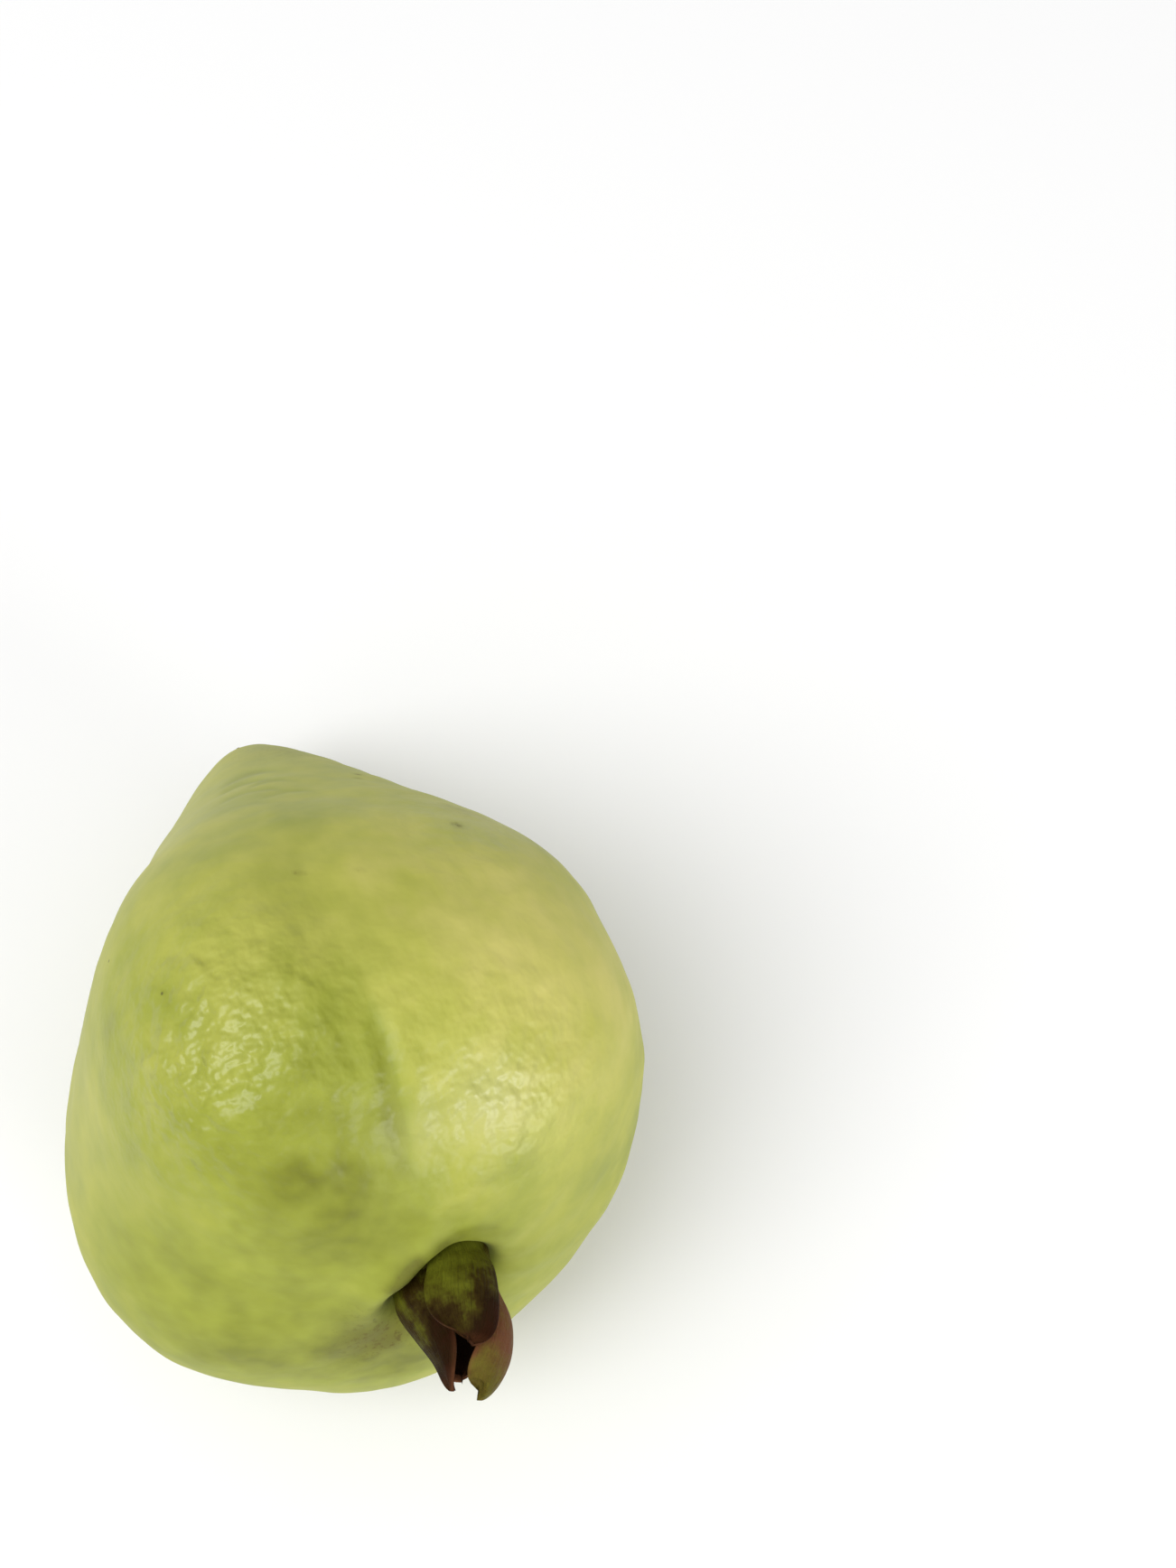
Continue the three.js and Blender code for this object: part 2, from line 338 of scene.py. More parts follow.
def add_node(tree, kind, inputs=None, **settings):
    """Adds a shader node: settings are its options, and inputs are values or sockets to link."""
    made = tree.nodes.new("ShaderNode" + kind)
    for name, value in settings.items():
        setattr(made, name, value)
    for name, value in (inputs or {}).items():
        if isinstance(value, bpy.types.NodeSocket):
            tree.links.new(value, made.inputs[name])
        else:
            made.inputs[name].default_value = value
    return made


FACTOR, FIRST, SECOND, MIXED = 0, 6, 7, 2  # the sockets of a Mix node set to colours


def set_stops(ramp, stops):
    """Gives a colour ramp its stops: place and hex colour."""
    while len(ramp.color_ramp.elements) < len(stops):
        ramp.color_ramp.elements.new(0.5)
    for element, (place, hex_code) in zip(ramp.color_ramp.elements, stops):
        element.position = place
        element.color = colour(hex_code)


def new_material(name, **settings):
    """A material with one Principled shader, whose even settings go on its own sockets."""
    material = bpy.data.materials.new(name)
    material.use_nodes = True
    tree = material.node_tree
    tree.nodes.clear()
    shader = add_node(tree, "BsdfPrincipled", settings)
    output = add_node(tree, "OutputMaterial", {"Surface": shader.outputs[0]})
    output.target = "ALL"
    return material, tree, shader


SKIN_COLOURS = [  # from the greenest skin to the ripest; the painted shade also runs down it
    (0.0, "#6C7010"),
    (0.1, "#7C821A"),
    (0.32, "#92992F"),
    (0.65, "#AFB04B"),
    (1.0, "#C8C16A"),
]
MOTTLING = 0.13  # how much riper or greener the mottling makes the skin
STREAKINESS = 0.25  # how much the streaks count in it, beside the patches
LEAST_RUB = 0.5  # how brown the skin is between the grains of a rub, and of the painted shade by the calyx
DIRT_AND_SHADE = {"closeness": 12, "amount": 0.6}  # how close to the calyx it keeps, and how dark it is: dirt, and painted shade in the crevice
SPECK_CELL = 6.667  # width of the cells of skin that may hold a speck each
SPECKED_SHARE = 0.3
SPECK_STRENGTH = 0.75


def guava_skin():
    """Guava skin: a thin living rind under a natural wax, over pale flesh. It is a
    little see-through, so light softens in it, and its wax gives a broken gloss,
    because the rind is lumpy and finely wrinkled from growing over its oil glands."""
    material, tree, shader = new_material(
        "guava_skin",
        **{
            "IOR": 1.45,
            "Specular IOR Level": 0.58,
            "Subsurface Weight": 0.12,
            "Subsurface Radius": (1.0, 0.9, 0.35),
            "Subsurface Scale": 2.5 * MM,
        },
    )
    place = add_node(tree, "TexCoord").outputs["Object"]
    along = add_node(tree, "Attribute", attribute_name="meridian").outputs["Vector"]
    ripeness_and_shade, bloom_and_sheen, scuff_and_shade, sheltered, bumpy = (
        add_node(tree, "Attribute", attribute_name=name).outputs["Fac"]
        for name in ("ripeness_and_shade", "bloom_and_sheen", "scuff_and_shade", "sheltered", "bumpy")
    )

    # Mottling: patches of about 8 mm, and streaks about 2 mm wide along the fruit.
    patches = add_node(
        tree,
        "TexNoise",
        {"Vector": place, "Scale": cells(7.692 * MM), "Detail": 2, "Roughness": 0.6},
    ).outputs["Fac"]
    streaks = add_node(
        tree,
        "TexNoise",
        {"Vector": along, "Scale": cells(2.222), "Detail": 2, "Roughness": 0.5},
    ).outputs["Fac"]
    mottling = add_node(
        tree, "Math", {0: streaks, 1: STREAKINESS, 2: patches}, operation="MULTIPLY_ADD"
    ).outputs[0]
    limits = {"From Min": 0.4, "From Max": 0.85, "To Min": -MOTTLING, "To Max": MOTTLING}
    mottling = add_node(tree, "MapRange", {"Value": mottling, **limits}).outputs[0]
    hue = add_node(tree, "Math", {0: ripeness_and_shade, 1: mottling}, operation="ADD").outputs[0]
    ramp = add_node(tree, "ValToRGB", {"Fac": hue})
    set_stops(ramp, SKIN_COLOURS)

    # Rubs, and painted shadow and shade by the calyx, broken into browner grains of about 0.9 mm.
    grain = add_node(
        tree,
        "TexNoise",
        {"Vector": place, "Scale": cells(0.909 * MM), "Detail": 4, "Roughness": 0.65},
    ).outputs["Fac"]
    grain = add_node(
        tree, "MapRange", {"Value": grain, "From Min": 0.42, "From Max": 0.62}
    ).outputs[0]
    grain = add_node(tree, "Math", {0: grain, 1: LEAST_RUB}, operation="MAXIMUM").outputs[0]
    rubbed_and_shaded = add_node(tree, "Math", {0: grain, 1: scuff_and_shade}, operation="MULTIPLY").outputs[0]

    # Old wax and dirt lie in the crevice round the calyx, with painted shade over them.
    dirt_and_shade = add_node(
        tree, "Math", {0: sheltered, 1: DIRT_AND_SHADE["closeness"]}, operation="POWER"
    ).outputs[0]
    dirt_and_shade = add_node(tree, "Math", {0: dirt_and_shade, 1: DIRT_AND_SHADE["amount"]}, operation="MULTIPLY").outputs[0]

    # Small dead specks: each fades out between 0.27 and 0.6 mm across.
    spots = add_node(tree, "TexVoronoi", {"Vector": place, "Scale": cells(SPECK_CELL * MM)})
    limits = {"From Min": 0.3 / SPECK_CELL, "From Max": 0.1333 / SPECK_CELL}
    small = add_node(
        tree, "MapRange", {"Value": spots.outputs["Distance"], **limits}
    ).outputs[0]
    lot = add_node(tree, "SeparateColor", {"Color": spots.outputs["Color"]}).outputs["Red"]
    chosen = add_node(
        tree, "Math", {0: lot, 1: 1 - SPECKED_SHARE}, operation="GREATER_THAN"
    ).outputs[0]
    speck = add_node(tree, "Math", {0: small, 1: chosen}, operation="MULTIPLY").outputs[0]
    speck = add_node(tree, "Math", {0: speck, 1: SPECK_STRENGTH}, operation="MULTIPLY").outputs[0]

    # Greyer where the wax bloom is whole, and whitish where a sheen is painted; then the rubs and
    # dirt, both with painted shade by the calyx, and the specks over it.
    skin = ramp.outputs["Color"]
    for amount, hex_code in [
        (bloom_and_sheen, "#BDBC86"),
        (rubbed_and_shaded, "#5B5414"),
        (dirt_and_shade, "#3C4208"),
        (speck, "#454018"),
    ]:
        layer = {FACTOR: amount, FIRST: skin, SECOND: colour(hex_code)}
        skin = add_node(tree, "Mix", layer, data_type="RGBA").outputs[MIXED]
    tree.links.new(skin, shader.inputs["Base Color"])

    # Gloss: the wax is uneven, polished on the bumpy swellings, and dull where it is rubbed
    # and round the calyx.
    limits = {"From Min": 0.3, "From Max": 0.7, "To Min": 0.58, "To Max": 0.68}
    dull = add_node(tree, "MapRange", {"Value": patches, **limits}).outputs[0]
    for where, duller in [(sheltered, 0.3), (bumpy, -0.33), (rubbed_and_shaded, 0.25)]:
        dull = add_node(
            tree, "Math", {0: where, 1: duller, 2: dull}, operation="MULTIPLY_ADD"
        ).outputs[0]
    tree.links.new(dull, shader.inputs["Roughness"])

    # Relief: bumps of about 3.3 mm, then wrinkles of about 1 mm, mostly along the fruit.
    under = {}
    for where, width, roughness, depth in [
        (place, 3.333 * MM, 0.46, 1.8 * MM),
        (along, 1.053, 0.6, 0.06 * MM),
    ]:
        relief = add_node(
            tree,
            "TexNoise",
            {"Vector": where, "Scale": cells(width), "Detail": 2, "Roughness": roughness},
        ).outputs["Fac"]
        relief = add_node(tree, "Math", {0: relief, 1: bumpy}, operation="MULTIPLY").outputs[0]
        bump = {"Strength": 1.0, "Distance": depth, "Height": relief, **under}
        under = {"Normal": add_node(tree, "Bump", bump).outputs[0]}
    tree.links.new(under["Normal"], shader.inputs["Normal"])
    return material


CALYX_COLOURS = [  # from living green to dead brown
    (0.0, "#686C1C"),
    (0.3, "#525213"),
    (0.5, "#372C0A"),
    (0.7, "#251604"),
    (1.0, "#2C1407"),
]
BLOTCHING = 0.22  # how much more or less dried the blotches make it
VEINING = 0.2  # how much the veins count in them


def dried_calyx():
    """Guava calyx: green leathery sepals that died back on the fruit. They stay olive
    at the base, and dry to brown with a maroon edge, with fine veins along them."""
    material, tree, shader = new_material(
        "dried_calyx", **{"IOR": 1.45, "Specular IOR Level": 0.05}
    )
    place = add_node(tree, "TexCoord").outputs["Object"]
    along = add_node(tree, "Attribute", attribute_name="vein").outputs["Vector"]
    age, rust, inside = (
        add_node(tree, "Attribute", attribute_name=name).outputs["Fac"]
        for name in ("age", "rust", "inside")
    )

    # Blotches of about 3 mm, and veins a few tenths of a millimetre wide.
    blotches = add_node(
        tree,
        "TexNoise",
        {"Vector": place, "Scale": cells(2.857 * MM), "Detail": 3, "Roughness": 0.6},
    ).outputs["Fac"]
    veins = add_node(
        tree,
        "TexNoise",
        {"Vector": along, "Scale": cells(0.625), "Detail": 3, "Roughness": 0.6},
    ).outputs["Fac"]
    shift = add_node(
        tree, "Math", {0: veins, 1: VEINING, 2: blotches}, operation="MULTIPLY_ADD"
    ).outputs[0]
    limits = {"From Min": 0.4, "From Max": 0.8, "To Min": -BLOTCHING, "To Max": BLOTCHING}
    shift = add_node(tree, "MapRange", {"Value": shift, **limits}).outputs[0]
    dried = add_node(tree, "Math", {0: age, 1: shift}, operation="ADD").outputs[0]
    ramp = add_node(tree, "ValToRGB", {"Fac": dried})
    set_stops(ramp, CALYX_COLOURS)

    # Rusty edges, and painted shade on the insides.
    limits = {"From Min": 0.3, "From Max": 0.55, "To Min": 0.7}
    rusted = add_node(tree, "MapRange", {"Value": blotches, **limits}).outputs[0]
    rusted = add_node(tree, "Math", {0: rusted, 1: rust}, operation="MULTIPLY").outputs[0]
    sepal = ramp.outputs["Color"]
    for amount, hex_code in [(rusted, "#6A432A"), (inside, "#1C0B06")]:
        layer = {FACTOR: amount, FIRST: sepal, SECOND: colour(hex_code)}
        sepal = add_node(tree, "Mix", layer, data_type="RGBA").outputs[MIXED]
    tree.links.new(sepal, shader.inputs["Base Color"])

    dull = add_node(
        tree, "MapRange", {"Value": dried, "To Min": 0.42, "To Max": 0.62}
    ).outputs[0]
    tree.links.new(dull, shader.inputs["Roughness"])
    veined = add_node(
        tree, "Bump", {"Strength": 1.0, "Distance": 0.35 * MM, "Height": veins}
    ).outputs[0]
    puckered = add_node(
        tree,
        "Bump",
        {"Strength": 0.8, "Distance": 0.4 * MM, "Height": blotches, "Normal": veined},
    ).outputs[0]
    tree.links.new(puckered, shader.inputs["Normal"])
    return material


BARK_COLOURS = [  # from the cracks of the bark to its ridges
    (0.3, "#5E5430"),
    (0.5, "#7A6E3E"),
    (0.7, "#958A55"),
]


def woody_stem():
    """Guava stalk: thin olive-brown bark, dull and finely cracked, with a cut end that
    has dried dark."""
    material, tree, shader = new_material("woody_stem", **{"IOR": 1.45})
    place = add_node(tree, "TexCoord").outputs["Object"]
    cut = add_node(tree, "Attribute", attribute_name="cut").outputs["Fac"]

    # Cracks about 0.45 mm apart.
    fibres = add_node(
        tree,
        "TexNoise",
        {"Vector": place, "Scale": cells(0.4545 * MM), "Detail": 3, "Roughness": 0.6},
    ).outputs["Fac"]
    bark = add_node(tree, "ValToRGB", {"Fac": fibres})
    set_stops(bark, BARK_COLOURS)
    layer = {FACTOR: cut, FIRST: bark.outputs["Color"], SECOND: colour("#43331F")}
    ended = add_node(tree, "Mix", layer, data_type="RGBA").outputs[MIXED]
    tree.links.new(ended, shader.inputs["Base Color"])

    dull = add_node(
        tree, "MapRange", {"Value": fibres, "To Min": 0.6, "To Max": 0.85}
    ).outputs[0]
    tree.links.new(dull, shader.inputs["Roughness"])
    rough = add_node(
        tree, "Bump", {"Strength": 1.0, "Distance": 0.2 * MM, "Height": fibres}
    ).outputs[0]
    tree.links.new(rough, shader.inputs["Normal"])
    return material


# ---------------------------------------------------------------- the fruit

RIPE_AND_SHADED_PATCHES = [  # away, turn, how much yellower (or greener, below 0), spread; some greener ones are painted shade, as marked
    (62, 38, 0.22, 24),
    (95, 45, 0.12, 24),
    (46, 113, -0.20, 11),
    (30, 112, -0.16, 9),
    (110, 88, -0.05, 10),
    (121, 85, -0.14, 7),
    (146, 88, -0.08, 9),
    (104, 68, 0.09, 11),
    (62, 160, -0.10, 22),
    (72, 108, -0.06, 12),
    (42, 94, -0.14, 6),
    (66, 91, -0.08, 6),
    (39, 186, -0.16, 16),
    (24, 230, -0.20, 14),
    # painted shadow of the calyx, to its lower left
    (18, 210, -0.20, 5),
    (22, 196, -0.04, 6),
    # painted shade against the top of the calyx
    (14, 60, -0.14, 7),
    # painted shade: a dark line where the skin meets the calyx
    (18.8, 82, -0.16, 1.6),
    (19.0, 96, -0.34, 1.5),
    (18.8, 106, -0.34, 1.6),
    (17.6, 118, -0.34, 1.8),
    (24, 45, -0.06, 7),
    (95, 89, 0.08, 8),
    (80, 54, 0.12, 9),
    (55, 104, -0.14, 9),
    (57, 93, -0.08, 6),
    (35, 51, -0.17, 7),
    (88, 124, -0.18, 8),
    (29, 244, -0.18, 6),
    (70, 20, 0.10, 25),
    (20, 355, -0.02, 8),
    (75, 300, 0.10, 30),
    (110, 230, -0.10, 35),
    (42, 150, -0.10, 26),
    (25, 120, -0.05, 14),
    # painted shade along the flank near turn 0
    (56, 2, -0.14, 16),
    (62, 345, -0.12, 12),
    (82, 350, -0.10, 14),
    (100, 30, -0.10, 10),
    (36, 22, -0.13, 14),
    (26, 320, -0.14, 20),
    (44, 205, -0.06, 20),
]
GREEN_STRIPE = (87, 0.12, 7, 62, 32)  # turn, how much greener, half width, away, length
EVEN_RIPENESS = 0.52
HOLLOW_SHADE = 0.8  # painted shade: darker green for each millimetre of depth of a fold, down to the next depth
FULL_SHADE_DEPTH = 0.2
CONTACT_SHADE = {"distance": 7.5, "width": 2.0, "amount": 0.10}  # painted shade: darker green against the calyx
SHELTER_WIDTH = 2.4  # how far from the calyx's foot the skin stays dull, and takes its dirt and painted shade
BUMPY_PATCHES = [  # away, turn, amount, spread
    (72, 110, 1.0, 15),
    (50, 60, 0.68, 14),
    (108, 50, 0.25, 14),
]
EVEN_BUMPS = 0.06
BLOOM_AND_SHEEN_PATCHES = [  # away, turn, amount, spread: grey wax bloom, and a painted sheen
    (140, 122, 0.34, 17),
    (97, 154, 0.26, 16),
    (112, 43, 0.22, 7),
    (165, 250, 0.20, 25),
    # painted sheen: a whitish haze over the glossy swelling
    (50, 61, 0.42, 6),
    (47, 80, 0.22, 4),
]
SCUFFS_AND_SHADE = [  # away, turn, amount, spread: brown rubs, and painted shade by the calyx
    # brown rubs beside the calyx, under its painted shadow
    (18, 211, 0.95, 3.5),
    (21, 212, 0.40, 4),
    # painted shade: a dark line where the skin meets the calyx
    (19.0, 96, 0.50, 1.2),
    (18.8, 106, 0.50, 1.3),
    (17.6, 118, 0.55, 1.5),
    # more brown rubs by the calyx, under its painted shadow
    (19.4, 209, 0.5, 0.5),
    (20, 186, 0.42, 4),
    (24, 202, 0.36, 5),
    (17, 165, 0.35, 4),
    (30, 215, 0.10, 7),
    (108.7, 52.4, 0.95, 0.8),
    (147, 53, 0.9, 0.5),
    (98.3, 86, 0.9, 0.45),
    (143.6, 56, 0.9, 0.45),
    (95.8, 76, 0.5, 0.35),
    (118, 46, 0.30, 3),
    (20, 356, 0.12, 3),
    (168, 60, 0.3, 5),
]
MERIDIAN_DRAW = 0.35  # shortens lengthways coordinates, so that patterns are drawn out along them


def sum_of(patches, away, turn):
    """Adds up a table of patches: away, turn, amount, spread."""
    return sum(
        amount * hill(away, turn, at_away, at_turn, spread)
        for at_away, at_turn, amount, spread in patches
    )


def belly_middle(points):
    """Where the belly's middle is, in metres, once the laid-down form fits the fruit's box."""
    low, high = (np.array(corner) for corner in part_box("fruit"))
    own_low, own_high = points.reshape(-1, 3).min(0), points.reshape(-1, 3).max(0)
    middle = (low + high - own_low - own_high) / 2
    middle[2] = high[2] - own_high[2]
    return middle


def skin_finish(away, turn, smooth):
    """What the skin's material reads at every point of its rings."""
    distance, round_it = round_calyx(points_of(away, turn, smooth))
    beyond = beyond_foot(distance, round_it)
    beside = np.exp(-(((distance - CONTACT_SHADE["distance"]) / CONTACT_SHADE["width"]) ** 2))
    ripe_and_shaded = EVEN_RIPENESS + sum_of(RIPE_AND_SHADED_PATCHES, away, turn)
    ripe_and_shaded -= stripes([GREEN_STRIPE], away, turn)
    # Painted shade in the hollows of the folds.
    ripe_and_shaded += HOLLOW_SHADE * np.clip(folds(away, turn, smooth), -FULL_SHADE_DEPTH, 0)
    # Painted shade against the calyx.
    ripe_and_shaded -= CONTACT_SHADE["amount"] * beside * calyx_half(away)

    # Coordinates that run round and along the fruit, in millimetres.
    across = BELLY_RADIUS * np.sin(away)
    lengthways = BELLY_RADIUS * away * MERIDIAN_DRAW
    return {
        "ripeness_and_shade": ripe_and_shaded,
        "bumpy": EVEN_BUMPS + sum_of(BUMPY_PATCHES, away, turn),
        "bloom_and_sheen": np.clip(sum_of(BLOOM_AND_SHEEN_PATCHES, away, turn), 0, 1),
        "scuff_and_shade": np.clip(sum_of(SCUFFS_AND_SHADE, away, turn), 0, 1),
        "sheltered": np.exp(-((beyond / SHELTER_WIDTH) ** 2)) * calyx_half(away),
        "meridian": np.stack([across * np.cos(turn), across * np.sin(turn), lengthways], axis=-1),
    }


def grow_fruit():
    """Builds the fruit's skin, and gives back where its belly's middle is."""
    part = (np.arange(SKIN_RINGS) + 0.5) / SKIN_RINGS
    rows = pi * part - RING_PACKING * np.sin(2 * pi * part) / 2
    away, turn = np.meshgrid(rows, round_turns(SKIN_MERIDIANS), indexing="ij")
    smooth = skin_radius(away, turn)
    middle = belly_middle(points_of(away, turn, smooth) @ LIE_DOWN.T * MM)
    rings = points_of(away, turn, smooth + skin_relief(away, turn, smooth))
    poles = np.array([0.0, pi])
    start, end = points_of(poles, 0 * poles, skin_radius(poles, 0 * poles))
    points, faces = closed_form(rings, start, end)
    points = points @ LIE_DOWN.T * MM + middle
    points[:, 2] = (points[:, 2] + np.hypot(points[:, 2], FLAT_SOFTNESS * MM)) / 2
    skin = add_piece("skin", points, faces, guava_skin())
    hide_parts("fruit")
    for name, values in skin_finish(away, turn, smooth).items():
        add_values(skin, name, with_ends(values))
    return middle


# ---------------------------------------------------------------- the calyx

CUP = {"radius": 6.7, "wall": 1.5, "height": 4.0, "floor": 2.3, "root": 4}
# How its outline rounds off: how far below its rim its outside starts to round in, how far in
# the rim is, how far below it the wall's inside starts, how far in its well is, how much
# deeper that is in the middle, and the reach of the last ring there.
CUP_ROUNDING = {"shoulder": 1.05, "rim": 0.6, "lip": 0.65, "well": 0.45, "dish": 0.7, "middle": 0.2}
CUP_AGE = (0.3, 0.1)  # how dried it is at the basin's floor, and what its rim adds
SEAM = 2.2  # height at which the sepals leave the cup
SEPAL_BASE = 1.3  # thickness
SEPAL_EDGE = 0.7
LEAST_HALF_WIDTH = 0.2  # of a sepal, at its very tip
PLATE_SQUARENESS = 0.5  # makes a sepal's section a flat plate with round edges
CRINKLE = {"height": 0.14, "along": 9, "across": 3}
NOTCHES = 2.2  # how often the torn end of a sepal goes in and out
# Each sepal has stations along it: height over the seam, distance of its middle line from the
# calyx's axis, half its width, drift of the middle line, and how far its two edges stand out
# (or in, below 0). "cupping" is the radius it is curved to across, "blunt" says how suddenly
# its tip ends, "skew" makes one side of it longer, "tear" is how much of it is torn off, "age" is
# how dried it is at its base, then what its tip, low edge and high edge add, and "rust" how
# rusty its base is and what its tip adds.
SEPALS = {
    "upper": {
        "turn": 62, "cupping": 7.5, "blunt": 7, "skew": 0.9, "tear": 0.03,
        "age": (-0.18, 0.84, 0.42, 0.0), "rust": (-1.3, 1.12),
        "stations": [
            (-2.5, 6.4, 3.2, -0.5, 0, 0),
            (0, 6.8, 3.9, -0.4, 0, 0),
            (3, 7.9, 4.7, -0.2, 0.2, 0),
            (6, 8.4, 5.3, 0.3, 0.2, 0.2),
            (9.5, 7.6, 5.3, 0.5, 0.5, 0.5),
            (12.8, 5.5, 4.7, 0.1, 0.8, 0.5),
        ],
    },
    "left": {
        "turn": 146, "cupping": 6.6, "blunt": 14, "skew": 0, "tear": 0.05,
        "age": (0.14, 0.7, 0.30, 0.15), "rust": (-0.6, 0.7),
        "stations": [
            (0, 5.8, 5.2, 0, -0.5, 0),
            (4, 5.9, 4.9, 0, -1, 0),
            (8, 4.4, 4.1, -0.5, -1, 0),
            (12, 2.8, 3.0, -0.8, -0.5, 0),
            (17, 1.6, 0.8, -0.3, 0, 0),
        ],
    },
    "lower": {
        "turn": 256, "cupping": 6.6, "blunt": 14, "skew": 0, "tear": 0.08,
        "age": (0.3, 0.4, 0.0, 0.1), "rust": (-0.3, 0.7),
        "stations": [
            (0, 5.9, 5.0, 0, 0, 0),
            (5, 5.6, 4.4, 0, 0, 0),
            (9, 4.6, 3.6, 0.3, 0, 0),
            (14.8, 2.0, 1.8, 0.4, 0, 0),
        ],
    },
    "right": {
        "turn": 12, "cupping": 6.6, "blunt": 12, "skew": 1.4, "tear": 0.03,
        "age": (0.45, -0.4, 0.0, 0.1), "rust": (4.4, -4.6),
        "stations": [
            (0, 5.6, 5.2, 0, 0, -1.2),
            (4, 6.3, 4.8, -0.3, 0, -1.4),
            (9, 7.0, 3.8, -0.8, 0, -1.2),
            (13, 5.8, 3.5, -0.6, 0.1, -0.9),
            (15.6, 4.1, 3.3, -0.3, -0.2, -1.1),
            (17.4, 2.6, 3.0, -0.3, -0.9, -1.2),
        ],
    },
}
EDGE_SHARPNESS = {"sides": 8, "tip": 12}  # how narrow the rim of a sepal is that rusts
EDGE_RUST = 0.6
# The inside of a sepal is shaded from "from" of its thickness inwards, by "amount" at most.
INNER_SHADE = {"from": 0.325, "steepness": 8, "amount": 0.8}
# Vein coordinates: how fast they run across, through and along a sepal and along the cup,
# and how far apart those of two sepals are.
VEINS = {"across": 12, "through": 2, "along": 0.3, "cup": 0.8, "apart": 30}
SEPAL_ROWS = 70
SEPAL_ROUND = 64
CUP_ROUND = 72
FIRST_SEPAL_SEED = 1.3


def through_stations(stations, column, height):
    """A smooth curve through one column of a sepal's stations."""
    at = np.array([s[0] for s in stations], float)
    value = np.array([s[column] for s in stations], float)
    gap = np.diff(at)
    slope = np.diff(value) / gap
    inner = (slope[:-1] * gap[1:] + slope[1:] * gap[:-1]) / (gap[:-1] + gap[1:])
    slope = np.concatenate([[slope[0]], inner, [slope[-1]]])
    i = np.clip(np.searchsorted(at, height, side="right") - 1, 0, len(gap) - 1)
    t = (height - at[i]) / gap[i]
    rise = t * t * (3 - 2 * t)
    into = t * (1 - t) ** 2 * slope[i] - t * t * (1 - t) * slope[i + 1]
    return value[i] + rise * (value[i + 1] - value[i]) + gap[i] * into


def sepal_rings(sepal, seed):
    """Rings of points round a sepal, from its base to its tip, in the calyx's own axes, with
    how far across (-1 to 1), along (0 to 1) and through it (-1/2 to 1/2) each point is."""
    stations = sepal["stations"]
    angle = round_turns(SEPAL_ROUND)
    side = np.sign(np.cos(angle)) * np.abs(np.cos(angle)) ** PLATE_SQUARENESS
    through = np.sign(np.sin(angle)) * np.abs(np.sin(angle)) ** PLATE_SQUARENESS / 2
    along, across = np.meshgrid(np.linspace(0, 1, SEPAL_ROWS), side, indexing="ij")
    through = np.broadcast_to(through, across.shape)
    height = stations[0][0] + along * (stations[-1][0] - stations[0][0])
    middle, half, drift, low_edge, high_edge = (
        through_stations(stations, column, height) for column in range(1, 6)
    )
    half = half * np.sqrt(np.maximum(1 - along ** sepal["blunt"], 0))
    half = np.maximum(half, LEAST_HALF_WIDTH)
    thickness = SEPAL_EDGE + (SEPAL_BASE - SEPAL_EDGE) * (1 - across**2) * (1 - along)
    wave = np.sin(CRINKLE["along"] * along + CRINKLE["across"] * across + seed)
    edges = np.where(across < 0, low_edge, high_edge) * across**2
    radius = middle + edges + CRINKLE["height"] * wave * along + through * thickness
    cupping = sepal["cupping"]
    bend = across * half / cupping
    outward = radius - cupping * (1 - np.cos(bend))
    sideways = (cupping + through * thickness) * np.sin(bend) + drift
    torn = 0.5 + np.array([noise.noise(Vector((NOTCHES * s, seed, 0.5))) for s in side])
    height = height * (1 - sepal["tear"] * torn * along**3)
    height -= sepal["skew"] * across * along**2
    turn = radians(sepal["turn"])
    rings = np.stack(
        [
            outward * cos(turn) - sideways * sin(turn),
            outward * sin(turn) + sideways * cos(turn),
            SEAM + height,
        ],
        axis=-1,
    )
    return rings, across, along, through


def sepal_part(sepal, number):
    """One sepal: its rings, its two end points, and what its material reads on the rings."""
    rings, across, along, through = sepal_rings(sepal, number + FIRST_SEPAL_SEED)
    sides, tip = EDGE_SHARPNESS["sides"], EDGE_SHARPNESS["tip"]
    edge = np.maximum(np.abs(across) ** sides, along**tip)
    base, at_tip, low_side, high_side = sepal["age"]
    age = base + at_tip * along + np.where(across < 0, -low_side, high_side) * across
    base, at_tip = sepal["rust"]
    rust = base + at_tip * along + EDGE_RUST * edge * along
    inwards = np.clip(INNER_SHADE["steepness"] * (-through - INNER_SHADE["from"]), 0, 1)
    length = sepal["stations"][-1][0]
    lengthways = VEINS["along"] * length * along + VEINS["apart"] * number
    values = {
        "age": age,
        "rust": np.clip(rust, 0, 1),
        "inside": INNER_SHADE["amount"] * inwards * (1 - edge),
        "vein": np.stack(
            [VEINS["across"] * across, VEINS["through"] * through, lengthways], axis=-1
        ),
    }
    return rings, rings[0].mean(0), rings[-1].mean(0), values


